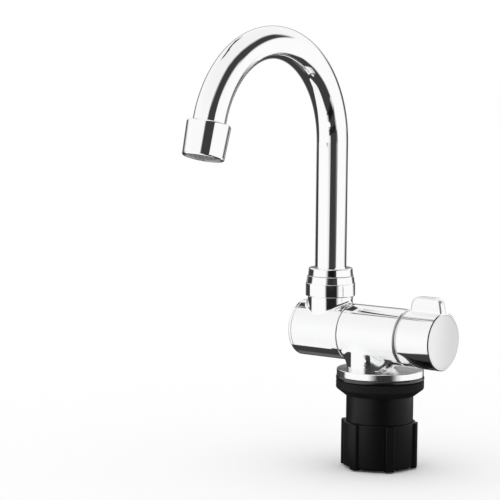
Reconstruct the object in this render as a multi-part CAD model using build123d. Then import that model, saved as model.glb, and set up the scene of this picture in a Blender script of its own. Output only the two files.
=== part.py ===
"""Folding single-hole mixer tap for a caravan or boat sink, with a gooseneck spout and a turn knob.

Millimetres. Origin on the shank's axis at the deck's top,
+Z up. The barrel lies along X with the knob at +X
and the folding elbow at -X. The spout points to -Y.
"""
from build123d import *
import math
import os

# shank, gasket, trim ring and clamp nut
SHANK_R = 19.0
SHANK_THREAD_R = 18.4
SHANK_NECK_END = -15.2
GASKET_SEAT_R = 18.8
SHANK_BORE_R = 16.2
SHANK_END = -41.0
FLOOR_LOW = -8.0
FLOOR_TOP = 10.6
FLANGE_R = 25.0
FLANGE_ROUND = 0.9
GASKET_TOP = 8.2
GASKET_FOOT_R = 20.3
GASKET_RIM_R = 24.9
GASKET_CONE_TOP = 3.6
RING_R = 24.6
RING_TOP = 14.4
NUT_TOP = -15.4
NUT_BOTTOM = -41.1
NUT_BODY_R = 20.4
NUT_RIB_R = 21.8
NUT_RIB_WIDTH = 5.2
NUT_RIBS = 6
NUT_RIB_TURN = 22.0
NUT_RIB_ROOT = 17.0
NUT_BORE_R = 19.06

# inlets and the screws that hold the shank to the body
PORT_X = -4.0
PORT_Y = 7.2
PORT_R = 2.3
PORT_WELL_R = 4.3
PORT_WELL = 1.6
SOCKET_X = -2.0
SOCKET_Y = 8.0
SOCKET_R = 4.6
SOCKET_DEPTH = 12.0
INSERT_R = 6.2
SCREW_X = (-12.2, 4.0)
SCREW_R = 1.98
SCREW_HOLE_TOP = 19.0

# body: barrel and neck
BARREL_Z = 33.4
BARREL_R = 16.2
BARREL_LEFT = -19.5
BARREL_RIGHT = 18.8
NECK_X = -6.1
NECK_HALF_X = 13.3
NECK_HALF_Y = 15.6
NECK_FLARE = 9.5
NECK_SHOULDER = 0.4
SPIGOT_SOCKET_R = 9.0
SPIGOT_SOCKET_X = -8.0
OUTLET_WAY_R = 3.4
PORT_TURN_Z = 29.0

# cartridge, with each piece's places along X
CARTRIDGE_R = 12.5
CARTRIDGE_BORE_R = 12.6
BASE_LEFT = 0.3
BASE_RIGHT = 2.9
SEAL_POCKET = 1.4
DISC_R = 10.4
FIXED_LEFT = 2.95
FIXED_RIGHT = 6.2
MOVING_LEFT = 6.25
MOVING_RIGHT = 9.2
CHANNEL_R = 5.6
CHANNEL_DEPTH = 1.6
HOUSING_STEP = 11.8
HOUSING_RIGHT = 14.0
RING_NUT_R = 15.0
FLANGE_THICK = 1.95
DRIVER_RIGHT = 11.6
STEM_GROOVE_LEFT = 12.1
STEM_GROOVE_RIGHT = 13.5
STEM_GROOVE_R = 4.4
STEM_R = 5.5
STEM_HOLE_R = 5.6
STEM_SHOULDER = 22.4
STEM_END = 35.5
SQUARE = 6.4

# knob
KNOB_LEFT = 20.95
KNOB_RIGHT = 42.25
KNOB_R = 16.2
KNOB_BEVEL = 0.55
KNOB_WALL = 1.9
FIN_TOP = 24.3
FIN_THICK = 5.6
FIN_ROUND = 1.8
PLATE_R = 15.0
PLATE_THICK = 1.6
BOSS_R = 6.8
BOSS_LEFT = 22.6
RIB_LEFT = 30.0
KNOB_SCREW_R = 1.6
SCREW_SEAT = 37.0

# elbow and its fold joint
ELBOW_RIGHT = -19.9
ELBOW_LEFT = -53.5
ELBOW_R = 16.1
SEAM_ROUND = 0.3
ELBOW_BORE_R = 9.8
SPIGOT_R = 9.75
SPIGOT_BORE_R = 6.0
SPIGOT_END = -46.5
SPIGOT_FLOOR = -41.0
FOLD_GROOVES = (-23.6, -44.1)
FOLD_GROOVE_R = 8.4
FOLD_WINDOW_R = 4.4
GROOVE_WIDTH = 1.8
WASHER_R = 15.8
WASHER_THICK = 0.36
PIVOT_SCREW_R = 2.9
PIVOT_SHOULDER_R = 4.1
PIVOT_SHOULDER = -49.3
PIVOT_HEAD = -51.1
END_CAP = 2.0
CAP_PLUG_R = 12.45
RISER_X = -35.5
STUB_R = 12.95
STUB_TOP = 52.9
STUB_FILLET = 2.2
COLLAR_R = 12.0
COLLAR_TOP = 58.0
SWIVEL_BORE_R = 9.6
SPOUT_NUT_R = 14.2
SPOUT_NUT_BORE_R = 12.05
NUT_BAND = 60.4
NUT_LIP = 62.0
NUT_END = 64.5
TRIM_TOP = 69.2
SWIVEL_FOOT_R = 9.55
SWIVEL_FOOT_END = 45.0
SWIVEL_GROOVES = (48.4, 53.4)
SWIVEL_GROOVE_R = 8.2
SWIVEL_FLANGE = 58.9
SWIVEL_FLANGE_R = 11.7
SWIVEL_BORE = 6.3

# spout and outlet
TUBE_R = 9.0
TUBE_BORE_R = 8.0
TUBE_FOOT = 60.4
BEND_Z = 141.0
BEND_R = 56.4
BEND_ANGLE = 164.9
OUTLET_STRAIGHT = 1.2
SLEEVE_LENGTH = 18.9
SLEEVE_TOP_R = 12.0
SLEEVE_END_R = 11.35
SLEEVE_BORE_R = 9.9
SLEEVE_SOCKET = 3.0
SCREEN_TOP = 4.75
CUP_TOP = 5.65
CUP_BORE_R = 8.9
AERATOR_END = 18.3

BARREL_AXIS = Axis((0, 0, BARREL_Z), (1, 0, 0))
OUT = "parts"
os.makedirs(OUT, exist_ok=True)


def outline(points):
    """Flat face through (u, v) corners. A third number rounds its corner by that radius."""
    face = make_face(Polyline(*[(p[0], p[1]) for p in points], close=True))
    for p in points:
        if len(p) == 3:
            corner = face.vertices().sort_by_distance((p[0], p[1], 0))[0]
            face = fillet(corner, p[2])
    return face


def turned(points):
    """Solid turned about Z from (radius, height) corners."""
    return revolve(Plane.XZ * outline(points), Axis.Z)


def turned_x(points):
    """Solid turned about the barrel's axis from (x, radius) corners."""
    side = Plane((0, 0, BARREL_Z), x_dir=(1, 0, 0), z_dir=(0, -1, 0))
    return revolve(side * outline(points), BARREL_AXIS)


def rod_z(radius, low, high, x=0.0, y=0.0):
    """Upright cylinder between two heights."""
    return Pos(x, y, (low + high) / 2) * Cylinder(radius, high - low)


def rod_x(radius, left, right, y=0.0, z=BARREL_Z):
    """Cylinder along X between two places."""
    return Pos((left + right) / 2, y, z) * Rot(0, 90, 0) * Cylinder(radius, right - left)


def ring_x(x, inner, outer):
    """Round sealing ring about the barrel's axis."""
    return Pos(x, 0, BARREL_Z) * Rot(0, 90, 0) * Torus((inner + outer) / 2, (outer - inner) / 2)


def group(pieces):
    """Separate solids kept in one node."""
    return Compound(children=pieces)


def save(name, shape):
    """Write one sub-part."""
    export_step(shape, f"{OUT}/{name}.step")
    print(f"{name:20s} {shape.volume:10.1f} mm3")


def neck_section(shrink, low, high):
    """Upright column of the neck's oval section, made smaller all round by shrink."""
    oval = Ellipse(NECK_HALF_X - shrink, NECK_HALF_Y - shrink)
    return Pos(NECK_X, 0, low) * extrude(oval, high - low)


# shank, clamp and inlets

def shank():
    """Mounting tube. The clamp nut runs on its lower part and the hoses pass inside it."""
    lead = 0.8
    return turned([
        (SHANK_BORE_R, SHANK_END), (SHANK_THREAD_R - lead, SHANK_END),
        (SHANK_THREAD_R, SHANK_END + lead), (SHANK_THREAD_R, SHANK_NECK_END),
        (SHANK_R, SHANK_NECK_END), (SHANK_R, 0), (GASKET_SEAT_R, 0), (GASKET_SEAT_R, GASKET_TOP),
        (SHANK_BORE_R, GASKET_TOP)])


def inlet_block():
    """Moulded block bonded into the shank's top, with a flange over the gasket and the inlet ways."""
    block = turned([
        (0, FLOOR_LOW), (SHANK_BORE_R, FLOOR_LOW), (SHANK_BORE_R, GASKET_TOP),
        (FLANGE_R, GASKET_TOP, FLANGE_ROUND), (FLANGE_R, FLOOR_TOP, FLANGE_ROUND), (0, FLOOR_TOP)])
    for side in (1, -1):
        block -= rod_z(INSERT_R, FLOOR_LOW - 1, FLOOR_LOW + SOCKET_DEPTH, SOCKET_X, side * SOCKET_Y)
        block -= rod_z(PORT_R, FLOOR_LOW, FLOOR_TOP + 1, PORT_X, side * PORT_Y)
        block -= rod_z(PORT_WELL_R, FLOOR_TOP - PORT_WELL, FLOOR_TOP + 1, PORT_X, side * PORT_Y)
    for x in SCREW_X:
        block -= rod_z(SCREW_R + 0.1, FLOOR_LOW - 1, FLOOR_TOP + 1, x)
    return block


def inlet_inserts():
    """Two brass sockets moulded into the block's floor, for the hot and cold hose tails."""
    mouth = -2.0
    socket = turned([
        (SOCKET_R, mouth), (INSERT_R, mouth, 0.4), (INSERT_R, SOCKET_DEPTH), (SOCKET_R, SOCKET_DEPTH)])
    return group([Pos(SOCKET_X, side * SOCKET_Y, FLOOR_LOW) * socket for side in (1, -1)])


def port_seals():
    """Rings between the block and the body's two inlet ways."""
    ring_r, wire = 3.4, 0.78
    ring = Torus(ring_r, wire)
    return group([Pos(PORT_X, side * PORT_Y, FLOOR_TOP - wire) * ring for side in (1, -1)])


def body_screws():
    """Two hexagon-socket screws from below through the block into the body."""
    head, head_r, reach = 2.6, 3.3, 25.0
    screw = turned([
        (0, -head), (head_r, -head, 0.6), (head_r, 0), (SCREW_R, 0), (SCREW_R, reach), (0, reach + 1)])
    screw -= Pos(0, 0, -head) * extrude(RegularPolygon(1.6, 6), 1.4, both=True)
    return group([Pos(x, 0, FLOOR_LOW) * screw for x in SCREW_X])


def deck_gasket():
    """Rubber seal whose tapered underside centres itself in the deck hole."""
    return turned([
        (SHANK_R + 0.1, 0), (GASKET_FOOT_R, 0), (GASKET_RIM_R, GASKET_CONE_TOP, 1.2),
        (GASKET_RIM_R, GASKET_TOP, 0.7), (GASKET_SEAT_R, GASKET_TOP), (GASKET_SEAT_R, 0.4)])


def escutcheon_ring():
    """Chrome trim ring. The body's neck passes through it and clamps it with a small shoulder."""
    ring = turned([(0, FLOOR_TOP), (RING_R, FLOOR_TOP, 0.3), (RING_R, RING_TOP, 0.35), (0, RING_TOP)])
    return ring - neck_section(NECK_SHOULDER - 0.1, FLOOR_TOP - 1, RING_TOP + 1)


def clamp_nut():
    """Thin-walled nut with grip ribs that clamps the deck from below. The ribs reach a little lower."""
    foot = 0.7
    nut = turned([
        (0, NUT_BOTTOM + foot), (NUT_BODY_R, NUT_BOTTOM + foot, 0.9), (NUT_BODY_R, NUT_TOP, 0.5),
        (0, NUT_TOP)])
    depth = NUT_RIB_R - NUT_RIB_ROOT
    rib = Box(depth, NUT_RIB_WIDTH, NUT_TOP - NUT_BOTTOM)
    rib = fillet(rib.edges().filter_by(Axis.Z).sort_by(Axis.X)[-2:], 0.9)
    rib = Pos(NUT_RIB_R - depth / 2, 0, (NUT_TOP + NUT_BOTTOM) / 2) * rib
    for i in range(NUT_RIBS):
        nut += Rot(0, 0, NUT_RIB_TURN + 360 / NUT_RIBS * i) * rib
    return nut - rod_z(NUT_BORE_R, NUT_BOTTOM - 1, NUT_TOP + 1)


# body and cartridge

def body_casting():
    """Casting: barrel, oval neck that flares into it, cartridge bore, spigot socket and water ways."""
    barrel = turned_x([
        (BARREL_LEFT, 0), (BARREL_LEFT, BARREL_R, 0.4), (BARREL_RIGHT, BARREL_R, 0.6),
        (BARREL_RIGHT, 0)])
    body = barrel + neck_section(0, RING_TOP, BARREL_Z)
    crease = [e for e in body.edges()
              if RING_TOP + 1 < e.center().Z < BARREL_Z - 0.5 and e.geom_type == GeomType.BSPLINE]
    body = fillet(crease, NECK_FLARE)
    body += neck_section(NECK_SHOULDER, FLOOR_TOP, RING_TOP + 1)
    body -= rod_x(CARTRIDGE_BORE_R, 0, BARREL_RIGHT + 1)
    body -= rod_x(SPIGOT_SOCKET_R, BARREL_LEFT - 1, SPIGOT_SOCKET_X)
    body -= rod_x(OUTLET_WAY_R, SPIGOT_SOCKET_X - 1, 1)
    for side in (1, -1):
        body -= rod_z(PORT_R, FLOOR_TOP - 1, PORT_TURN_Z + 1.5, PORT_X, side * PORT_Y)
        body -= rod_x(PORT_R, PORT_X, 1, side * PORT_Y, PORT_TURN_Z)
    for x in SCREW_X:
        body -= rod_z(SCREW_R + 0.02, FLOOR_TOP - 1, SCREW_HOLE_TOP, x)
    return body


def cartridge_base():
    """Moulded end plate of the cartridge, with ways for the two inlets and the mixed water."""
    base = turned_x([
        (BASE_LEFT, 0), (BASE_LEFT, CARTRIDGE_R), (BASE_RIGHT, CARTRIDGE_R), (BASE_RIGHT, 0)])
    base -= rod_x(OUTLET_WAY_R, 0, BASE_RIGHT + 1)
    base -= rod_x(OUTLET_WAY_R + 2.0, 0, SEAL_POCKET)
    for side in (1, -1):
        base -= rod_x(PORT_R, 0, BASE_RIGHT + 1, side * PORT_Y, PORT_TURN_Z)
        base -= rod_x(PORT_R + 1.6, 0, SEAL_POCKET, side * PORT_Y, PORT_TURN_Z)
    return base


def cartridge_seals():
    """Three rubber rings between the casting and the cartridge's end plate."""
    left, right = 0.01, SEAL_POCKET - 0.02
    rings = [rod_x(OUTLET_WAY_R + 1.9, left, right) - rod_x(OUTLET_WAY_R + 0.5, left - 1, right + 1)]
    for side in (1, -1):
        ring = rod_x(PORT_R + 1.5, left, right, side * PORT_Y, PORT_TURN_Z)
        rings.append(ring - rod_x(PORT_R + 0.2, left - 1, right + 1, side * PORT_Y, PORT_TURN_Z))
    return group(rings)


def fixed_disc():
    """Lower ceramic disc: two inlet ports and the outlet in the middle."""
    disc = turned_x([
        (FIXED_LEFT, 0), (FIXED_LEFT, DISC_R, 0.3), (FIXED_RIGHT, DISC_R, 0.3), (FIXED_RIGHT, 0)])
    disc -= rod_x(OUTLET_WAY_R, FIXED_LEFT - 1, FIXED_RIGHT + 1)
    for side in (1, -1):
        disc -= rod_x(PORT_R, FIXED_LEFT - 1, FIXED_RIGHT + 1, side * PORT_Y, PORT_TURN_Z)
    return disc


def moving_disc():
    """Upper ceramic disc with the channel that joins the inlets to the outlet as it turns."""
    radius = DISC_R - 0.2
    disc = turned_x([
        (MOVING_LEFT, 0), (MOVING_LEFT, radius, 0.3), (MOVING_RIGHT, radius, 0.3), (MOVING_RIGHT, 0)])
    arc = SlotArc(CenterArc((0, 0), CHANNEL_R, 20, 115), 4.2)
    channel = Pos(MOVING_LEFT, 0, BARREL_Z) * Rot(0, 90, 0) * extrude(arc, CHANNEL_DEPTH)
    return disc - channel - rod_x(OUTLET_WAY_R, MOVING_LEFT - 1, MOVING_LEFT + CHANNEL_DEPTH)


def cartridge_housing():
    """Moulded cartridge barrel that holds the discs and guides the stem."""
    bore = DISC_R + 0.1
    return turned_x([
        (FIXED_LEFT, bore), (FIXED_LEFT, CARTRIDGE_R), (HOUSING_RIGHT, CARTRIDGE_R, 0.4),
        (HOUSING_RIGHT, STEM_HOLE_R), (HOUSING_STEP, STEM_HOLE_R), (HOUSING_STEP, bore)])


def cartridge_nut():
    """Brass ring nut that clamps the cartridge. Its notched flange shows in the gap beside the knob."""
    left, right = HOUSING_RIGHT + 0.05, BARREL_RIGHT + FLANGE_THICK
    bore = 8.0
    nut = turned_x([
        (left, bore), (left, CARTRIDGE_R), (BARREL_RIGHT, CARTRIDGE_R), (BARREL_RIGHT, RING_NUT_R),
        (right, RING_NUT_R, 0.4), (right, bore)])
    for turn in range(0, 360, 90):
        notch = Rot(turn, 0, 0) * Pos(right, 0, bore + 0.5) * Box(2.0, 3.0, 3.0)
        nut -= Pos(0, 0, BARREL_Z) * notch
    return nut


def cartridge_stem():
    """Stem: driving plate behind the moving disc, ring groove, and a square end for the knob."""
    driver, driver_r = MOVING_RIGHT + 0.05, DISC_R - 0.4
    stem = turned_x([
        (driver, 0), (driver, driver_r, 0.3), (DRIVER_RIGHT, driver_r, 0.3), (DRIVER_RIGHT, STEM_R),
        (STEM_GROOVE_LEFT, STEM_R), (STEM_GROOVE_LEFT, STEM_GROOVE_R),
        (STEM_GROOVE_RIGHT, STEM_GROOVE_R), (STEM_GROOVE_RIGHT, STEM_R), (STEM_SHOULDER, STEM_R, 0.3),
        (STEM_SHOULDER, 0)])
    length = STEM_END - STEM_SHOULDER
    stem += Pos(STEM_SHOULDER + length / 2, 0, BARREL_Z) * Box(length, SQUARE, SQUARE)
    return stem - rod_x(KNOB_SCREW_R + 0.02, 25.0, STEM_END + 1)


def stem_seal():
    """Ring in the stem's groove."""
    return ring_x((STEM_GROOVE_LEFT + STEM_GROOVE_RIGHT) / 2, STEM_GROOVE_R, STEM_HOLE_R - 0.04)


# knob

def handle_fin():
    """Flat finger grip as long as the knob, with rounded corners and softened rims."""
    foot = KNOB_R - 0.5
    profile = outline([
        (KNOB_LEFT, foot), (KNOB_LEFT + 0.9, FIN_TOP, 6.0), (KNOB_RIGHT - 1.5, FIN_TOP, 4.2),
        (KNOB_RIGHT, foot)])
    side = Plane((0, 0, BARREL_Z), x_dir=(1, 0, 0), z_dir=(0, -1, 0))
    fin = extrude(side * profile, FIN_THICK / 2, both=True)
    rim = [e for e in fin.edges()
           if abs(abs(e.center().Y) - FIN_THICK / 2) < 0.01 and e.center().Z > BARREL_Z + KNOB_R]
    return fillet(rim, FIN_ROUND)


def handle_cap():
    """Hollow knob with a square-socketed boss, stiffening ribs and an upright finger fin."""
    inside = KNOB_R - KNOB_WALL
    wall_right = KNOB_RIGHT - PLATE_THICK
    wall_left = wall_right - 1.8
    plate_seat = PLATE_R + 0.05
    cap = turned_x([
        (KNOB_LEFT, inside), (KNOB_LEFT, KNOB_R, 0.4), (KNOB_RIGHT - KNOB_BEVEL, KNOB_R),
        (KNOB_RIGHT, KNOB_R - KNOB_BEVEL), (KNOB_RIGHT, plate_seat), (wall_right, plate_seat),
        (wall_right, 0), (BOSS_LEFT, 0), (BOSS_LEFT, BOSS_R, 0.4), (wall_left, BOSS_R),
        (wall_left, inside)])
    for turn in range(45, 360, 90):
        place = Rot(turn, 0, 0) * Pos((RIB_LEFT + wall_left) / 2, 0, (BOSS_R + inside) / 2)
        cap += Pos(0, 0, BARREL_Z) * place * Box(wall_left - RIB_LEFT + 0.4, 1.2, inside - BOSS_R + 0.6)
    cap += handle_fin()
    socket_end = STEM_END + 0.2
    width = SQUARE + 0.1
    cap -= Pos((BOSS_LEFT + socket_end) / 2 - 0.5, 0, BARREL_Z) * Box(socket_end - BOSS_LEFT + 1,
        width, width)
    cap -= rod_x(KNOB_SCREW_R + 0.5, RIB_LEFT, KNOB_RIGHT)
    return cap - rod_x(4.2, SCREW_SEAT, KNOB_RIGHT)


def handle_screw():
    """Screw through the knob's boss into the stem, under the end plate."""
    tip, head_r, head_end = 25.5, 3.6, SCREW_SEAT + 2.2
    screw = turned_x([
        (tip, 0), (tip, KNOB_SCREW_R), (SCREW_SEAT, KNOB_SCREW_R), (SCREW_SEAT, head_r),
        (head_end, head_r, 0.9), (head_end, 0)])
    return screw - Pos(head_end, 0, BARREL_Z) * Rot(0, 90, 0) * extrude(RegularPolygon(1.3, 6), 1.4,
        both=True)


def handle_end_plate():
    """Satin disc that closes the knob's end, flush with its rim."""
    left = KNOB_RIGHT - PLATE_THICK + 0.05
    return turned_x([(left, 0), (left, PLATE_R), (KNOB_RIGHT, PLATE_R, 0.2), (KNOB_RIGHT, 0)])


# elbow and fold joint

def fold_spigot():
    """Hollow brass pivot screwed into the body. Water leaves for the spout through its four windows."""
    root, root_r = SPIGOT_SOCKET_X - 0.3, SPIGOT_SOCKET_R - 0.05
    tapped = PIVOT_SCREW_R + 0.02
    corners = [(root, SPIGOT_BORE_R), (root, root_r), (BARREL_LEFT, root_r), (BARREL_LEFT, SPIGOT_R)]
    for groove in FOLD_GROOVES:
        near, far = groove + GROOVE_WIDTH / 2, groove - GROOVE_WIDTH / 2
        corners += [(near, SPIGOT_R), (near, FOLD_GROOVE_R), (far, FOLD_GROOVE_R), (far, SPIGOT_R)]
    corners += [(SPIGOT_END, SPIGOT_R), (SPIGOT_END, tapped), (SPIGOT_FLOOR, tapped),
                (SPIGOT_FLOOR, SPIGOT_BORE_R)]
    spigot = turned_x(corners)
    across = 2 * SPIGOT_R + 4
    spigot -= Pos(RISER_X, 0, BARREL_Z) * Cylinder(FOLD_WINDOW_R, across)
    return spigot - Pos(RISER_X, 0, BARREL_Z) * Rot(90, 0, 0) * Cylinder(FOLD_WINDOW_R, across)


def fold_seals():
    """Two rings between the pivot and the elbow."""
    return group([ring_x(x, FOLD_GROOVE_R, ELBOW_BORE_R - 0.02) for x in FOLD_GROOVES])


def thrust_washer():
    """Thin dark washer that shows as the seam between body and elbow."""
    washer = rod_x(WASHER_R, BARREL_LEFT - WASHER_THICK, BARREL_LEFT)
    return washer - rod_x(SPIGOT_R + 0.1, BARREL_LEFT - 1, BARREL_LEFT + 1)


def pivot_screw():
    """Shouldered screw that holds the elbow on its pivot."""
    tip, head_r = SPIGOT_FLOOR - 0.5, 7.2
    screw = turned_x([
        (tip, 0), (tip, PIVOT_SCREW_R), (SPIGOT_END, PIVOT_SCREW_R), (SPIGOT_END, PIVOT_SHOULDER_R),
        (PIVOT_SHOULDER, PIVOT_SHOULDER_R), (PIVOT_SHOULDER, head_r), (PIVOT_HEAD, head_r, 0.5),
        (PIVOT_HEAD, 0)])
    return screw - Pos(PIVOT_HEAD, 0, BARREL_Z) * Rot(0, 90, 0) * extrude(RegularPolygon(2.3, 6), 2.0,
        both=True)


def friction_washer():
    """Washer under the screw's head. Its pressure holds the spout at any fold angle."""
    left = PIVOT_SHOULDER + 0.02
    return rod_x(7.0, left, left + 0.62) - rod_x(PIVOT_SHOULDER_R + 0.05, left - 1, left + 1)


def elbow():
    """Casting that folds about the barrel's axis: a short barrel with an upright stub for the spout."""
    left = ELBOW_LEFT + END_CAP
    web_left, web_right = PIVOT_SHOULDER + 0.7, SPIGOT_END - 0.4
    body = turned_x([
        (left, 0), (left, ELBOW_R, SEAM_ROUND), (ELBOW_RIGHT, ELBOW_R, 0.4), (ELBOW_RIGHT, 0)])
    body += rod_z(STUB_R, BARREL_Z, STUB_TOP, RISER_X)
    crease = [e for e in body.edges()
              if BARREL_Z + 6 < e.center().Z < STUB_TOP - 1 and e.geom_type == GeomType.BSPLINE]
    body = fillet(crease, STUB_FILLET)
    body += rod_z(COLLAR_R, STUB_TOP - 1, COLLAR_TOP, RISER_X)
    body -= rod_x(ELBOW_BORE_R, web_right, ELBOW_RIGHT + 1)
    body -= rod_x(PIVOT_SHOULDER_R + 0.1, web_left - 1, web_right + 1)
    body -= rod_x(CAP_PLUG_R + 0.05, left - 1, web_left)
    return body - rod_z(SWIVEL_BORE_R, BARREL_Z, COLLAR_TOP + 1, RISER_X)


def elbow_end_cap():
    """Chrome cap pressed into the elbow's outer end."""
    plug, right = ELBOW_LEFT + 2.1, ELBOW_LEFT + END_CAP - 0.05
    return turned_x([
        (ELBOW_LEFT, 0), (ELBOW_LEFT, ELBOW_R, 0.7), (right, ELBOW_R, SEAM_ROUND), (right, CAP_PLUG_R),
        (plug, CAP_PLUG_R), (plug, 0)])


def spout_nut():
    """Chrome nut that holds the spout in the elbow: a plain lower band and a tapered one above it."""
    seam, taper_r, lip_r = 13.9, 13.3, 10.4
    nut = turned([
        (SPOUT_NUT_BORE_R, STUB_TOP), (SPOUT_NUT_R, STUB_TOP, 0.7), (SPOUT_NUT_R, NUT_BAND, 0.25),
        (seam, NUT_BAND), (seam, NUT_BAND + 0.2), (taper_r, NUT_END, 0.2), (lip_r, NUT_END),
        (lip_r, NUT_LIP), (SPOUT_NUT_BORE_R, NUT_LIP)])
    return Pos(RISER_X, 0, 0) * nut


def slip_ring_lower():
    """Slip ring under the spigot's flange."""
    bottom, top = COLLAR_TOP + 0.05, SWIVEL_FLANGE - 0.05
    ring = rod_z(SWIVEL_FLANGE_R + 0.1, bottom, top, RISER_X)
    return ring - rod_z(SWIVEL_FOOT_R + 0.15, bottom - 1, top + 1, RISER_X)


def slip_ring_upper():
    """Flanged bush over the spigot's flange, which also steadies the tube."""
    bore, rim, neck = TUBE_R + 0.06, SWIVEL_FLANGE_R + 0.1, 10.3
    bottom, step, top = TUBE_FOOT + 0.05, NUT_LIP - 0.05, NUT_END - 0.1
    bush = turned([(bore, bottom), (rim, bottom), (rim, step), (neck, step), (neck, top), (bore, top)])
    return Pos(RISER_X, 0, 0) * bush


# spout

def spout_trim_ring():
    """Top band of the collar, a chrome ring fixed on the tube."""
    foot, foot_r, top_r = NUT_END + 0.15, 12.95, 12.5
    ring = turned([(TUBE_R, foot), (foot_r, foot, 0.2), (top_r, TRIM_TOP, 0.8), (TUBE_R, TRIM_TOP)])
    return Pos(RISER_X, 0, 0) * ring


def spout_spigot():
    """Brass foot brazed into the tube: two ring grooves, a retaining flange and a nipple."""
    nipple, nipple_end, flange_top = TUBE_BORE_R - 0.03, 68.0, TUBE_FOOT - 0.02
    corners = [(SWIVEL_BORE, SWIVEL_FOOT_END), (SWIVEL_FOOT_R, SWIVEL_FOOT_END, 0.5)]
    for groove in SWIVEL_GROOVES:
        low, high = groove - GROOVE_WIDTH / 2, groove + GROOVE_WIDTH / 2
        corners += [(SWIVEL_FOOT_R, low), (SWIVEL_GROOVE_R, low), (SWIVEL_GROOVE_R, high),
            (SWIVEL_FOOT_R, high)]
    corners += [(SWIVEL_FOOT_R, SWIVEL_FLANGE), (SWIVEL_FLANGE_R, SWIVEL_FLANGE),
        (SWIVEL_FLANGE_R, flange_top),
                (nipple, flange_top), (nipple, nipple_end), (SWIVEL_BORE, nipple_end)]
    return Pos(RISER_X, 0, 0) * turned(corners)


def spout_seals():
    """Two rings in the spigot's grooves."""
    outer = SWIVEL_BORE_R - 0.03
    ring = Torus((SWIVEL_GROOVE_R + outer) / 2, (outer - SWIVEL_GROOVE_R) / 2)
    return group([Pos(RISER_X, 0, z) * ring for z in SWIVEL_GROOVES])


def gooseneck(radius, foot, straight):
    """Rod along the spout's centre line: riser, bend and a short straight to the outlet."""
    riser = rod_z(radius, foot, BEND_Z, RISER_X)
    bend_axis = Axis((0, -BEND_R, BEND_Z), (1, 0, 0))
    bend = revolve(Pos(RISER_X, 0, BEND_Z) * Circle(radius), bend_axis, BEND_ANGLE)
    end = outlet_frame(0) * Pos(0, 0, straight / 2) * Cylinder(radius, straight)
    return riser + bend + end


def outlet_frame(distance):
    """Frame on the outlet's axis, a distance past the bend, with its Z along the flow."""
    angle = math.radians(BEND_ANGLE)
    flow = Vector(0, -math.sin(angle), math.cos(angle))
    bend_end = Vector(RISER_X, -BEND_R + BEND_R * math.cos(angle), BEND_Z + BEND_R * math.sin(angle))
    return Plane(bend_end + flow * distance, x_dir=(1, 0, 0), z_dir=flow)


def spout_tube():
    """Bent chrome tube of even wall, from the spigot to the outlet sleeve."""
    straight = OUTLET_STRAIGHT + SLEEVE_SOCKET
    return gooseneck(TUBE_R, TUBE_FOOT, straight) - gooseneck(TUBE_BORE_R, TUBE_FOOT - 1, straight + 1)


def outlet_sleeve():
    """Tapered chrome sleeve brazed on the tube's end. It holds the aerator."""
    step = SLEEVE_SOCKET + 0.05
    sleeve = turned([
        (TUBE_R, 0), (SLEEVE_TOP_R, 0, 0.9), (SLEEVE_END_R, SLEEVE_LENGTH, 1.0),
        (SLEEVE_BORE_R, SLEEVE_LENGTH), (SLEEVE_BORE_R, step), (TUBE_R, step)])
    return outlet_frame(OUTLET_STRAIGHT) * sleeve


def honeycomb(radius, cell, pitch, low, high):
    """Disc pierced by hexagonal cells."""
    disc = Pos(0, 0, (low + high) / 2) * Cylinder(radius, high - low)
    cutter = Pos(0, 0, low - 1) * extrude(RegularPolygon(cell, 6), high - low + 2)
    rows = int(radius / pitch) + 1
    for row in range(-rows, rows + 1):
        for column in range(-rows, rows + 1):
            x = (column + row / 2) * pitch
            y = row * pitch * math.sqrt(3) / 2
            if math.hypot(x, y) + cell < radius - 1.0:
                disc -= Pos(x, y, 0) * cutter
    return disc


def aerator_seal():
    """Flat rubber ring above the aerator."""
    inner, outer = 7.2, SLEEVE_BORE_R - 0.05
    top, bottom = SLEEVE_SOCKET + 0.1, SCREEN_TOP - 0.05
    ring = turned([(inner, top), (outer, top), (outer, bottom), (inner, bottom)])
    return outlet_frame(OUTLET_STRAIGHT) * ring


def aerator_screen():
    """Coarse screen on top of the aerator."""
    screen = honeycomb(SLEEVE_BORE_R - 0.1, 1.3, 3.2, SCREEN_TOP, CUP_TOP - 0.05)
    return outlet_frame(OUTLET_STRAIGHT) * screen


def aerator_body():
    """Moulded cup with a honeycomb outlet, a little inside the sleeve's end."""
    outer = SLEEVE_BORE_R - 0.06
    grid_top = AERATOR_END - 2.0
    cup = turned([
        (CUP_BORE_R, CUP_TOP), (outer, CUP_TOP), (outer, AERATOR_END), (CUP_BORE_R, AERATOR_END)])
    cup += honeycomb(CUP_BORE_R + 0.3, 1.1, 2.45, grid_top, AERATOR_END)
    return outlet_frame(OUTLET_STRAIGHT) * cup


def aerator_diffuser():
    """Plate with a ring of slanted jets inside the cup."""
    middle, thick, jets, jets_r = 7.1, 2.8, 12, 5.9
    plate = Pos(0, 0, middle) * Cylinder(CUP_BORE_R - 0.05, thick)
    jet = Pos(jets_r, 0, middle) * Rot(0, 15, 0) * extrude(RegularPolygon(0.9, 6), thick, both=True)
    for i in range(jets):
        plate -= Rot(0, 0, 360 / jets * i) * jet
    return outlet_frame(OUTLET_STRAIGHT) * plate


MAKERS = (
    shank, inlet_block, inlet_inserts, port_seals, body_screws, deck_gasket, escutcheon_ring, clamp_nut,
    body_casting, cartridge_base, cartridge_seals, fixed_disc, moving_disc, cartridge_housing,
    cartridge_nut,
    cartridge_stem, stem_seal, handle_cap, handle_screw, handle_end_plate,
    fold_spigot, fold_seals, thrust_washer, pivot_screw, friction_washer,
    elbow, elbow_end_cap, spout_nut, slip_ring_lower, slip_ring_upper,
    spout_trim_ring, spout_spigot, spout_seals, spout_tube,
    outlet_sleeve, aerator_seal, aerator_screen, aerator_body, aerator_diffuser,
)

for maker in MAKERS:
    save(maker.__name__, maker())
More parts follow.
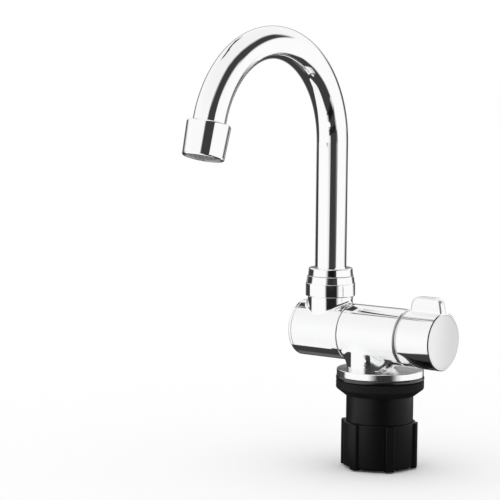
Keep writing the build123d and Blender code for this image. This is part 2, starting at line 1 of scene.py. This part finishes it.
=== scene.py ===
"""Looks of the folding mixer tap: finishes, fine parts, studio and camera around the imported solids.

The sections follow the tap as it is put together, from the shank up to the outlet. All sizes are in metres.
"""
import math

import bpy
from mathutils import Matrix, Vector


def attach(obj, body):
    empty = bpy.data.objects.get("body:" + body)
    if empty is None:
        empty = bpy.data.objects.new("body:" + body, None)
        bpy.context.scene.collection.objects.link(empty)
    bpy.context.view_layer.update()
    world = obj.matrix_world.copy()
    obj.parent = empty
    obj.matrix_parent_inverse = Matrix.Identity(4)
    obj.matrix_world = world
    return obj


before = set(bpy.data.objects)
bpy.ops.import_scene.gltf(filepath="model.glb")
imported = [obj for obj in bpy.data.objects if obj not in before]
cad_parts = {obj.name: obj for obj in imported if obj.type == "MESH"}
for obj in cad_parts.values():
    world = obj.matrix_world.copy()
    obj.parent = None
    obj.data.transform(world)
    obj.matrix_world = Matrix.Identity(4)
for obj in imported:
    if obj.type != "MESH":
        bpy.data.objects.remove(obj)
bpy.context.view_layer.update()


# The shank and the inlet block bonded into its top are moulded in black glass-filled nylon. The shank goes
# down through the deck. Its skin is matt with a fine grain and a faint sheen, and the block's is glossier,
# from a polished mould.

def wire(tree, start, end):
    """Joins an output to an input in a node tree."""
    tree.links.new(start, end)


def new_finish(name, color, metallic=0.0, roughness=0.5):
    """A material with plain values on its shader. Returns the material, its tree and the shader."""
    finish = bpy.data.materials.new(name)
    finish.use_nodes = True
    tree = finish.node_tree
    shader = tree.nodes["Principled BSDF"]
    shader.inputs["Base Color"].default_value = (*color, 1.0)
    shader.inputs["Metallic"].default_value = metallic
    shader.inputs["Roughness"].default_value = roughness
    return finish, tree, shader


def new_group(name, sizes, outputs, place="NodeSocketVector"):
    """A shader node group with a number input for each size. Returns it, its inputs and its outputs."""
    tree = bpy.data.node_groups.new(name, "ShaderNodeTree")
    tree.interface.new_socket("Place", in_out="INPUT", socket_type=place)
    for size, value in sizes.items():
        socket = tree.interface.new_socket(size, in_out="INPUT", socket_type="NodeSocketFloat")
        socket.default_value = value
    for output, kind in outputs.items():
        tree.interface.new_socket(output, in_out="OUTPUT", socket_type=kind)
    return tree, tree.nodes.new("NodeGroupInput").outputs, tree.nodes.new("NodeGroupOutput").inputs


def place_group(tree, shader, group, **sizes):
    """Puts a group in a material. Object coordinates feed it, and it feeds the shader's sockets of the same
    names as its outputs."""
    coordinates = tree.nodes.new("ShaderNodeTexCoord")
    node = tree.nodes.new("ShaderNodeGroup")
    node.node_tree = group
    wire(tree, coordinates.outputs["Object"], node.inputs["Place"])
    for size, value in sizes.items():
        node.inputs[size.replace("_", " ")].default_value = value
    for output in node.outputs:
        wire(tree, output, shader.inputs[output.name])


def noise(tree, place, scale, detail=2.0):
    """Noise texture on a place vector, with its scale given as a socket or a number."""
    texture = tree.nodes.new("ShaderNodeTexNoise")
    texture.inputs["Detail"].default_value = detail
    wire(tree, place, texture.inputs["Vector"])
    if isinstance(scale, (int, float)):
        texture.inputs["Scale"].default_value = scale
    else:
        wire(tree, scale, texture.inputs["Scale"])
    return texture.outputs["Fac"]


NOISE_LOW, NOISE_HIGH = 0.3, 0.7


def between(tree, factor, low, high):
    """Blend from one number to another by a noise, whose values mostly lie in its middle range."""
    mix = tree.nodes.new("ShaderNodeMapRange")
    wire(tree, factor, mix.inputs["Value"])
    wire(tree, low, mix.inputs["To Min"])
    wire(tree, high, mix.inputs["To Max"])
    mix.inputs["From Min"].default_value = NOISE_LOW
    mix.inputs["From Max"].default_value = NOISE_HIGH
    return mix.outputs["Result"]


def bump(tree, height, distance):
    """Bump normal from a height and the socket with its full depth."""
    node = tree.nodes.new("ShaderNodeBump")
    node.inputs["Strength"].default_value = 1.0
    wire(tree, height, node.inputs["Height"])
    wire(tree, distance, node.inputs["Distance"])
    return node.outputs["Normal"]


PATCHES = 60.0
grain, given, made = new_group(
    "moulded_grain", {"Scale": 2500.0, "Depth": 0.00002, "Smooth": 0.4, "Rough": 0.55},
    {"Roughness": "NodeSocketFloat", "Normal": "NodeSocketVector"})
fine = noise(grain, given["Place"], given["Scale"], 3.0)
patches = noise(grain, given["Place"], PATCHES)
wire(grain, between(grain, patches, given["Smooth"], given["Rough"]), made["Roughness"])
wire(grain, bump(grain, fine, given["Depth"]), made["Normal"])

NYLON_BLACK = (0.0022, 0.0022, 0.0024)
black_nylon, tree, shader = new_finish("black_nylon", NYLON_BLACK)
shader.inputs["Specular IOR Level"].default_value = 0.28
place_group(tree, shader, grain, Smooth=0.36, Rough=0.46, Depth=0.000015)


def dress(finish, *nodes):
    """Gives CAD nodes a finish."""
    for node in nodes:
        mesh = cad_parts[node].data
        mesh.materials.clear()
        mesh.materials.append(finish)


gloss_nylon, tree, shader = new_finish("gloss_nylon", NYLON_BLACK)
shader.inputs["Specular IOR Level"].default_value = 1.0
place_group(tree, shader, grain, Smooth=0.16, Rough=0.22, Depth=0.000004)
dress(black_nylon, "shank")
dress(gloss_nylon, "inlet_block")


# The shank's thread is moulded with it, as a ridge that winds up the core from the foot to the plain neck.
# A spiral curve carries the ridge's small diamond section, and the finished ridge moves with the shank.

def nodes_piece(name, tree, sizes):
    """Plain mesh object made by a node tree, with the tree's named inputs set to the given sizes."""
    holder = bpy.data.objects.new(name, bpy.data.meshes.new(name))
    bpy.context.scene.collection.objects.link(holder)
    maker = holder.modifiers.new("nodes", "NODES")
    maker.node_group = tree
    for socket in tree.interface.items_tree:
        if socket.item_type == "SOCKET" and socket.in_out == "INPUT" and socket.name in sizes:
            maker[socket.identifier] = sizes[socket.name]
    bpy.context.view_layer.update()
    evaluated = holder.evaluated_get(bpy.context.evaluated_depsgraph_get())
    made = bpy.data.meshes.new_from_object(evaluated)
    holder.modifiers.remove(maker)
    holder.data = made
    return holder


THREAD = {"Radius": 0.01842, "Ridge": 0.00053, "Pitch": 0.002, "Length": 0.0225, "Foot": -0.0398}
STEPS_PER_TURN = 72
thread = bpy.data.node_groups.new("thread_ridge", "GeometryNodeTree")
thread.is_modifier = True
for size in THREAD:
    thread.interface.new_socket(size, in_out="INPUT", socket_type="NodeSocketFloat")
thread.interface.new_socket("Finish", in_out="INPUT", socket_type="NodeSocketMaterial")
thread.interface.new_socket("Geometry", in_out="OUTPUT", socket_type="NodeSocketGeometry")
given = thread.nodes.new("NodeGroupInput").outputs
turns = thread.nodes.new("ShaderNodeMath")
turns.operation = "DIVIDE"
wire(thread, given["Length"], turns.inputs[0])
wire(thread, given["Pitch"], turns.inputs[1])
winding = thread.nodes.new("GeometryNodeCurveSpiral")
winding.inputs["Resolution"].default_value = STEPS_PER_TURN
wire(thread, turns.outputs["Value"], winding.inputs["Rotations"])
wire(thread, given["Radius"], winding.inputs["Start Radius"])
wire(thread, given["Radius"], winding.inputs["End Radius"])
wire(thread, given["Length"], winding.inputs["Height"])
upright = thread.nodes.new("GeometryNodeSetCurveNormal")
upright.mode = "Z_UP"
wire(thread, winding.outputs["Curve"], upright.inputs["Curve"])
section = thread.nodes.new("GeometryNodeCurvePrimitiveCircle")
section.inputs["Resolution"].default_value = 4
wire(thread, given["Ridge"], section.inputs["Radius"])
sweep = thread.nodes.new("GeometryNodeCurveToMesh")
sweep.inputs["Fill Caps"].default_value = True
wire(thread, upright.outputs["Curve"], sweep.inputs["Curve"])
wire(thread, section.outputs["Curve"], sweep.inputs["Profile Curve"])
foot = thread.nodes.new("ShaderNodeCombineXYZ")
wire(thread, given["Foot"], foot.inputs["Z"])
seat = thread.nodes.new("GeometryNodeTransform")
wire(thread, sweep.outputs["Mesh"], seat.inputs["Geometry"])
wire(thread, foot.outputs["Vector"], seat.inputs["Translation"])
real = thread.nodes.new("GeometryNodeRealizeInstances")
wire(thread, seat.outputs["Geometry"], real.inputs["Geometry"])
skin = thread.nodes.new("GeometryNodeSetMaterial")
wire(thread, real.outputs["Geometry"], skin.inputs["Geometry"])
wire(thread, given["Finish"], skin.inputs["Material"])
wire(thread, skin.outputs["Geometry"], thread.nodes.new("NodeGroupOutput").inputs["Geometry"])

ridge = nodes_piece("thread_ridge", thread, {**THREAD, "Finish": black_nylon})
for face in ridge.data.polygons:
    face.use_smooth = False
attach(ridge, "base")


# Two brass sockets take the threaded tails of the hot and the cold hose. They are turned from bar and set
# into the inlet block, and their skin keeps fine turning lines.

ALONG_LINES, ACROSS_LINES = 40.0, 3000.0
turning, given, made = new_group(
    "turning_lines", {"Depth": 0.000004, "Smooth": 0.18, "Rough": 0.3},
    {"Roughness": "NodeSocketFloat", "Normal": "NodeSocketVector"})
streak = turning.nodes.new("ShaderNodeMapping")
streak.inputs["Scale"].default_value = (ALONG_LINES, ALONG_LINES, ACROSS_LINES)
wire(turning, given["Place"], streak.inputs["Vector"])
lines = noise(turning, streak.outputs["Vector"], 1.0, 1.0)
wire(turning, between(turning, lines, given["Smooth"], given["Rough"]), made["Roughness"])
wire(turning, bump(turning, lines, given["Depth"]), made["Normal"])

brass, tree, shader = new_finish("brass", (0.66, 0.45, 0.17), metallic=1.0)
place_group(tree, shader, turning)
dress(brass, "inlet_inserts")


# The deck gasket and the two rings round the water ports are moulded in black rubber. The gasket's tapered
# side widens to a flat foot on the deck. The skin is dull and varies a little from place to place.

rubber, tree, shader = new_finish("rubber", (0.006, 0.006, 0.006))
shader.inputs["Specular IOR Level"].default_value = 0.25
place_group(tree, shader, grain, Scale=1400.0, Smooth=0.62, Rough=0.74, Depth=0.00003)
dress(rubber, "port_seals", "deck_gasket")


# Two steel screws go up through the inlet block into the body and draw block, ring and body together. They
# are machined, so they show fine lines like the brass.

steel, tree, shader = new_finish("steel", (0.55, 0.55, 0.56), metallic=1.0)
place_group(tree, shader, turning, Smooth=0.25, Rough=0.38)
dress(steel, "body_screws")


# The ring under the body is turned brass with a softer chrome skin than the body's. The body's neck clamps
# it over the gasket. Polishing leaves only faint wandering marks in it.

RIPPLES = 220.0
polish, given, made = new_group(
    "polish_marks", {"Scale": 90.0, "Depth": 0.000002, "Smooth": 0.025, "Rough": 0.05},
    {"Roughness": "NodeSocketFloat", "Normal": "NodeSocketVector"})
wander = noise(polish, given["Place"], given["Scale"], 4.0)
wire(polish, between(polish, wander, given["Smooth"], given["Rough"]), made["Roughness"])
wire(polish, bump(polish, noise(polish, given["Place"], RIPPLES, 1.0), given["Depth"]), made["Normal"])

ramp, given, made = new_group(
    "ramp", {"From": 0.0, "To": 0.001, "First": 0.0, "Last": 1.0},
    {"Value": "NodeSocketFloat"}, place="NodeSocketFloat")
blend = ramp.nodes.new("ShaderNodeMapRange")
blend.interpolation_type = "SMOOTHSTEP"
for size, socket in (("Place", "Value"), ("From", "From Min"), ("To", "From Max"), ("First", "To Min"),
                     ("Last", "To Max")):
    wire(ramp, given[size], blend.inputs[socket])
wire(ramp, blend.outputs["Result"], made["Value"])


def ramp_along(tree, axis, socket, **sizes):
    """Feeds a shader socket, in place of what fed it, with a smooth ramp along an object axis."""
    coordinates = tree.nodes.new("ShaderNodeTexCoord")
    parts = tree.nodes.new("ShaderNodeSeparateXYZ")
    node = tree.nodes.new("ShaderNodeGroup")
    node.node_tree = ramp
    wire(tree, coordinates.outputs["Object"], parts.inputs["Vector"])
    wire(tree, parts.outputs[axis], node.inputs["Place"])
    for size, value in sizes.items():
        node.inputs[size].default_value = value
    wire(tree, node.outputs["Value"], socket)


CHROME_WHITE = (0.965, 0.967, 0.97)
soft_chrome, tree, shader = new_finish("soft_chrome", CHROME_WHITE, metallic=1.0)
place_group(tree, shader, polish)
RIM_END, TOP_START = 0.0140, 0.0143
ramp_along(tree, "Z", shader.inputs["Roughness"], From=RIM_END, To=TOP_START, First=0.15, Last=0.22)
dress(soft_chrome, "escutcheon_ring")


# The clamp nut is moulded in the same black nylon as the shank, with upright ribs for the fingers. It is
# screwed up from below until it holds the deck against the gasket.

dress(black_nylon, "clamp_nut")


# The body is cast brass, a barrel in one piece with its oval neck. It is polished all over and chrome
# plated, so its skin is a plain mirror. The two screws from below hold it down on the block.

chrome, tree, shader = new_finish("chrome", CHROME_WHITE, metallic=1.0)
place_group(tree, shader, polish)
dress(chrome, "body_casting")


# The cartridge sits in the barrel behind the knob. Its base and housing are moulded in white acetal, its
# two discs are ground ceramic, its rings rubber and its stem brass. A satin plated ring nut screws in over
# it.

acetal, tree, shader = new_finish("white_acetal", (0.75, 0.74, 0.71))
place_group(tree, shader, grain, Smooth=0.38, Rough=0.5)
ceramic, tree, shader = new_finish("ceramic", (0.78, 0.75, 0.70))
place_group(tree, shader, grain, Scale=900.0, Smooth=0.12, Rough=0.2, Depth=0.000002)
satin, tree, shader = new_finish("satin_chrome", (0.78, 0.785, 0.79), metallic=1.0)
place_group(tree, shader, turning, Smooth=0.3, Rough=0.36, Depth=0.000001)
dress(acetal, "cartridge_base", "cartridge_housing")
dress(ceramic, "fixed_disc", "moving_disc")
dress(rubber, "cartridge_seals", "stem_seal")
dress(brass, "cartridge_stem")
dress(satin, "cartridge_nut")


# The knob is a chrome plated cap, held on the stem by a steel screw. Its fin is blasted to a satin skin so
# that a wet finger finds hold. The end plate that hides the screw is brushed, and a shade darker towards
# the back.

cap_chrome, tree, shader = new_finish("cap_chrome", CHROME_WHITE, metallic=1.0)
place_group(tree, shader, polish)
CAP_TOP, FIN_START = 0.0495, 0.0505
ramp_along(tree, "Z", shader.inputs["Roughness"], From=CAP_TOP, To=FIN_START, First=0.035, Last=0.30)
plate_satin, tree, shader = new_finish("plate_satin", (0.8, 0.8, 0.8), metallic=1.0)
place_group(tree, shader, turning, Smooth=0.3, Rough=0.36, Depth=0.000001)
PLATE_FRONT, PLATE_BACK = -0.016, 0.012
ramp_along(tree, "Y", shader.inputs["Base Color"], From=PLATE_FRONT, To=PLATE_BACK, First=0.88, Last=0.70)
dress(cap_chrome, "handle_cap")
dress(steel, "handle_screw")
dress(plate_satin, "handle_end_plate")


# The elbow folds on a hollow brass pivot that also carries the water. Rubber rings seal it, and a steel
# screw draws the elbow against a washer, so that the spout stays at any angle.

dress(brass, "fold_spigot")
dress(rubber, "fold_seals", "thrust_washer")
dress(steel, "pivot_screw", "friction_washer")


# The elbow is cast brass, polished and chrome plated like the body, with a plated cap pressed into its end
# and a plated nut on its stub. Two white acetal slip rings under that nut let the gooseneck turn.

dress(chrome, "elbow", "elbow_end_cap", "spout_nut")
dress(acetal, "slip_ring_lower", "slip_ring_upper")


# The gooseneck is a drawn brass tube, bent, polished and chrome plated, with a trim ring above the nut and
# the outlet sleeve brazed on its end. A turned brass foot with two rubber rings holds it in the elbow.

dress(chrome, "spout_tube", "spout_trim_ring", "outlet_sleeve")
dress(brass, "spout_spigot")
dress(rubber, "spout_seals")


# The aerator sits in the outlet sleeve and mixes air into the water. Its cup, screen and diffuser are
# moulded in grey plastic, and a rubber ring seals it.

grey_plastic, tree, shader = new_finish("grey_plastic", (0.28, 0.285, 0.29))
place_group(tree, shader, grain, Smooth=0.4, Rough=0.5)
dress(grey_plastic, "aerator_screen", "aerator_body", "aerator_diffuser")
dress(rubber, "aerator_seal")


# The studio is a pale floor under the nut in white surroundings. Dark and grey strips stand round the tap and
# lie on the floor, where a photographer would set flags to draw edges on chrome. They are glowing sheets that
# only reflections see, so they cast no shadow and give the tap no light: they are painted reflections. The
# floor is clear from below.

FLOOR_Z = -0.042


def stage_mesh(name, points, faces, shades=None):
    """Stage piece from points and faces, with a grey shade at each point if it is a reflected strip."""
    mesh = bpy.data.meshes.new(name)
    mesh.from_pydata(points, [], faces)
    piece = bpy.data.objects.new(name, mesh)
    bpy.context.scene.collection.objects.link(piece)
    if shades:
        layer = mesh.attributes.new("shade", "FLOAT", "POINT")
        layer.data.foreach_set("value", shades)
        mesh.materials.append(painted_reflection)
        piece.visible_camera = False
        piece.visible_diffuse = False
        piece.visible_transmission = False
        piece.visible_shadow = False
    return piece


# The strips' paint glows with the shade stored at each point, and only reflection rays see it: a painted
# reflection.
painted_reflection = bpy.data.materials.new("painted_reflection")
painted_reflection.use_nodes = True
tree = painted_reflection.node_tree
tree.nodes.remove(tree.nodes["Principled BSDF"])
glow = tree.nodes.new("ShaderNodeEmission")
shade = tree.nodes.new("ShaderNodeAttribute")
shade.attribute_name = "shade"
wire(tree, shade.outputs["Fac"], glow.inputs["Color"])
wire(tree, glow.outputs["Emission"], tree.nodes["Material Output"].inputs["Surface"])

floor_paint, tree, shader = new_finish("floor_paint", (1.0, 1.0, 1.0), roughness=1.0)
shader.inputs["Specular IOR Level"].default_value = 0.0
FLOOR_HALF = 8.0
floor = stage_mesh("floor", [(x * FLOOR_HALF, y * FLOOR_HALF, FLOOR_Z) for x, y in (
    (-1, -1), (1, -1), (1, 1), (-1, 1))], [(0, 1, 2, 3)])
floor.data.materials.append(floor_paint)
side = tree.nodes.new("ShaderNodeNewGeometry")
window = tree.nodes.new("ShaderNodeBsdfTransparent")
either = tree.nodes.new("ShaderNodeMixShader")
wire(tree, side.outputs["Backfacing"], either.inputs[0])
wire(tree, shader.outputs["BSDF"], either.inputs[1])
wire(tree, window.outputs["BSDF"], either.inputs[2])
wire(tree, either.outputs["Shader"], tree.nodes["Material Output"].inputs["Surface"])


# Glow levels of the painted reflections: clear white, grey, dark and deep.
CLEAR, GREY, DARK, DEEP = 0.97, 0.25, 0.045, 0.008


def strip(name, edges, columns, place, around=CLEAR):
    """Reflected strip of columns (turn, tone, reaches). It has the tone at the reaches marked 1 in edges, and
    fades to the shade around it at those marked 0. The place function makes a point of a turn in degrees and a
    reach, which is an elevation in degrees in the sky and a distance in metres on the floor."""
    rank = len(edges)
    points, shades = [], []
    for turn, tone, *reaches in columns:
        points += [place(turn, reach) for reach in reaches]
        shades += [tone if edge else around for edge in edges]
    faces = [(i * rank + j, (i + 1) * rank + j, (i + 1) * rank + j + 1, i * rank + j + 1)
             for i in range(len(columns) - 1) for j in range(rank - 1)]
    stage_mesh(name, points, faces, shades)


TAP_MIDDLE = Vector((-0.03, -0.04, 0.10))


def on_sky(distance):
    """Places by azimuth (0 is -Y, 90 is +X) and elevation on a sphere round the tap."""
    def place(turn, rise):
        turn, rise = math.radians(turn), math.radians(rise)
        flat = distance * math.cos(rise)
        return TAP_MIDDLE + Vector((math.sin(turn) * flat, -math.cos(turn) * flat, distance * math.sin(rise)))
    return place


def on_floor(lift):
    """Places by azimuth and distance from the shank's axis, a little above the floor."""
    def place(turn, reach):
        turn = math.radians(turn)
        return (reach * math.sin(turn), -reach * math.cos(turn), FLOOR_Z + lift)
    return place


FAR, FOOT = 6.5, -1.6
outer_sky, inner_sky = on_sky(6.0), on_sky(5.8)
lowest_layer, middle_layer, top_layer = on_floor(0.0006), on_floor(0.0008), on_floor(0.0010)
strip("front_and_arch_strip", (0, 1, 1, 0), [
    (8, CLEAR, FOOT, FOOT, 2, 6), (22, DARK, FOOT, FOOT, 14, 26), (30, DARK, FOOT, FOOT, 27, 42),
    (40, DARK, FOOT, FOOT, 35, 55), (50, DARK, FOOT, FOOT, 46, 64), (60, DARK, FOOT, FOOT, 54, 66),
    (65, DARK, FOOT, FOOT, 57, 68), (70, DARK, 9, 15, 59, 70), (76, DARK, 17, 22, 59, 69),
    (80, DARK, 21, 28, 59, 69), (90, DARK, 25, 33, 60, 70), (100, DARK, 28, 35.5, 59, 68),
    (110, DARK, 28, 36, 58, 67), (120, DARK, 24, 30, 54, 64), (130, DARK, 22, 29, 50, 62),
    (140, DARK, 20, 26, 47, 56), (150, DARK, 17, 23, 39, 52), (158, CLEAR, 19, 23, 30, 40)], outer_sky)
strip("front_low_strip", (1, 1, 0), [
    (12, CLEAR, FOOT, 6, 6), (25, DEEP, FOOT, 7, 12), (60, DEEP, FOOT, 7, 12),
    (68, CLEAR, FOOT, 6, 6)], inner_sky, around=DARK)
strip("back_strip", (1, 1, 0), [
    (160, CLEAR, FOOT, 0, 3), (169, 0.1, FOOT, 4, 8), (180, 0.1, FOOT, 9, 17), (195, 0.12, FOOT, 11, 17),
    (215, GREY, FOOT, 14, 24), (240, GREY, FOOT, 14, 26), (252, 0.08, FOOT, 10, 22),
    (262, DARK, FOOT, 4, 11), (275, DARK, FOOT, 4, 10), (292, DARK, FOOT, 4, 9),
    (301, CLEAR, FOOT, 2, 4)], outer_sky)
strip("overhead_patch", (0, 1, 1, 0), [
    (-131, CLEAR, 34, 36, 42, 44), (-124, DARK, 33, 35, 46, 48), (-114, DARK, 41, 44, 50, 51.5),
    (-107, DARK, 47, 50, 55, 57), (-103, DARK, 51, 53, 60, 61.5), (-90, DARK, 52, 53.5, 60.5, 62),
    (-84, CLEAR, 53, 54, 59, 61)], inner_sky)
strip("floor_shade", (1, 1, 0), [
    (-180, DARK, 0, 0.21, 0.42), (-172, DARK, 0, 0.40, 0.8), (-165, DARK, 0, 0.75, 1.2),
    (-150, DARK, 0, 0.8, 1.2), (-140, DARK, 0, 0.95, 1.25), (-130, DARK, 0, 0.65, 1.1),
    (-120, DARK, 0, 0.6, 1.1), (-112, DARK, 0, 1.2, 2.5), (-106, DARK, 0, FAR, FAR),
    (-80, DARK, 0, FAR, FAR), (-76, DARK, 0, 1.2, 2.2), (-73, DARK, 0, 0.5, 0.8),
    (-69.5, DARK, 0, 0.32, 0.5), (-67, DARK, 0, 0.18, 0.24), (-64, DARK, 0, 0.074, 0.078),
    (-35, DARK, 0, 0.070, 0.074), (-22, DARK, 0, 0.068, 0.078), (-10, DARK, 0, 0.078, 0.10),
    (0, DARK, 0, 0.15, 0.21), (6, DARK, 0, 0.19, 0.28), (15, DARK, 0, 0.25, 0.34),
    (22, DARK, 0, 0.35, 0.39), (26, DARK, 0, 0.5, 0.6), (30, DARK, 0, 0.7, 0.8), (58, DARK, 0, 0.7, 0.8),
    (64, DARK, 0, 0.55, 0.7), (70, DARK, 0, 0.38, 0.6), (75, DARK, 0, 0.29, 0.55),
    (81, DARK, 0, 0.235, 0.45), (91, DARK, 0, 0.185, 0.28), (101, DARK, 0, 0.15, 0.21),
    (112, DARK, 0, 0.14, 0.18), (122, DARK, 0, 0.125, 0.165), (140, DARK, 0, 0.145, 0.163),
    (160, DARK, 0, 0.148, 0.18), (170, DARK, 0, 0.17, 0.23), (180, DARK, 0, 0.21, 0.42)], lowest_layer)
strip("floor_front_dark", (1, 1), [
    (4, CLEAR, 0.5, FAR), (24, DARK, 0.5, FAR), (61, DARK, 0.5, FAR), (78, CLEAR, 0.5, FAR)], middle_layer)
strip("floor_back_grey", (0, 1, 1), [
    (155, CLEAR, 0.9, 1.4, FAR), (164, 0.2, 0.8, 1.1, FAR), (178, DARK, 0.6, 0.9, FAR)], middle_layer)
strip("floor_left_grey", (0, 1, 1), [
    (178, DARK, 0.6, 0.9, FAR), (192, 0.08, 0.6, 0.9, FAR), (205, GREY, 0.7, 1.0, FAR),
    (240, GREY, 0.6, 0.8, FAR), (252, DARK, 0.6, 1.0, FAR)], middle_layer, around=DARK)
strip("floor_deep_near", (0, 1, 1, 0), [
    (3, CLEAR, 0.28, 0.28, 0.36, 0.36), (20, DEEP, 0.24, 0.28, 0.36, 0.40),
    (64, DEEP, 0.24, 0.28, 0.36, 0.40), (82, CLEAR, 0.28, 0.28, 0.36, 0.36)], top_layer, around=DARK)
strip("floor_deep_far", (0, 1, 1, 0), [
    (7, CLEAR, 0.62, 0.62, 0.88, 0.88), (15, 0.015, 0.58, 0.62, 0.88, 0.95),
    (63, 0.015, 0.58, 0.62, 0.88, 0.95), (75, CLEAR, 0.62, 0.62, 0.88, 0.88)], top_layer, around=DARK)

# Two glowing patches on the floor under the elbow paint a clear and a grey reflection into its underside; only
# reflections see them.
PATCH_Z = FLOOR_Z + 0.0012
stage_mesh("floor_light", [(x, y, PATCH_Z) for x, y in (
    (-0.072, -0.027), (-0.112, -0.027), (-0.14, -0.06), (-0.075, -0.06))], [(0, 1, 2, 3)], [CLEAR] * 4)
stage_mesh("floor_grey_patch", [(x, y, PATCH_Z) for x, y in (
    (-0.068, 0.012), (-0.068, 0.024), (-0.068, 0.13), (-0.125, 0.13), (-0.125, 0.024), (-0.125, 0.012))],
    [(0, 1, 4, 5), (1, 2, 3, 4)], [DARK, 0.13, 0.10, 0.10, 0.13, DARK])


# The surroundings are white all round and light the tap evenly. Only reflection rays see them a little
# darker overhead and below than at the sides: a shade painted into the reflections, while the light on the
# tap stays even.

sky = bpy.data.worlds.new("white_surroundings")
sky.use_nodes = True
tree = sky.node_tree
background = tree.nodes["Background"]
direction = tree.nodes.new("ShaderNodeTexCoord")
parts = tree.nodes.new("ShaderNodeSeparateXYZ")
slope = tree.nodes.new("ShaderNodeMath")
slope.operation = "ABSOLUTE"
soft = tree.nodes.new("ShaderNodeMapRange")
for socket, value in (("From Min", 0.15), ("From Max", 0.85), ("To Min", 1.0), ("To Max", 0.92)):
    soft.inputs[socket].default_value = value
# Reflection rays take the darker painted shade; all other rays see white at strength 1.
rays = tree.nodes.new("ShaderNodeLightPath")
pure = tree.nodes.new("ShaderNodeMix")
pure.data_type = "FLOAT"
pure.inputs["A"].default_value = 1.0
wire(tree, direction.outputs["Generated"], parts.inputs["Vector"])
wire(tree, parts.outputs["Z"], slope.inputs[0])
wire(tree, slope.outputs["Value"], soft.inputs["Value"])
wire(tree, soft.outputs["Result"], pure.inputs["B"])
wire(tree, rays.outputs["Is Glossy Ray"], pure.inputs["Factor"])
wire(tree, pure.outputs["Result"], background.inputs["Strength"])
background.inputs["Color"].default_value = (1, 1, 1, 1)
bpy.context.scene.world = sky
bpy.context.scene.view_settings.view_transform = "Standard"


# The camera stands where the photographer's did, in front of the tap, towards the knob and a little above
# the deck. It has a long lens and a slight roll.

LENS_MM = 149.34
AZIMUTH, ELEVATION, ROLL = (math.radians(angle) for angle in (38.070, 5.797, 0.546))
TARGET = Vector((0, 0, 0.0093))
ASIDE, RAISED, AWAY = -0.07362, 0.07198, 1.17384
lens = bpy.data.cameras.new("camera")
lens.lens = LENS_MM
lens.clip_start, lens.clip_end = 0.05, 50.0
camera = bpy.data.objects.new("camera", lens)
bpy.context.scene.collection.objects.link(camera)
flat = math.cos(ELEVATION)
back = Vector((math.sin(AZIMUTH) * flat, -math.cos(AZIMUTH) * flat, math.sin(ELEVATION)))
right = Vector((math.cos(AZIMUTH), math.sin(AZIMUTH), 0))
up = back.cross(right)
right, up = right * math.cos(ROLL) + up * math.sin(ROLL), up * math.cos(ROLL) - right * math.sin(ROLL)
eye = TARGET + right * ASIDE + up * RAISED + back * AWAY
camera.matrix_world = Matrix((
    (right.x, up.x, back.x, eye.x), (right.y, up.y, back.y, eye.y), (right.z, up.z, back.z, eye.z),
    (0, 0, 0, 1)))
bpy.context.scene.camera = camera
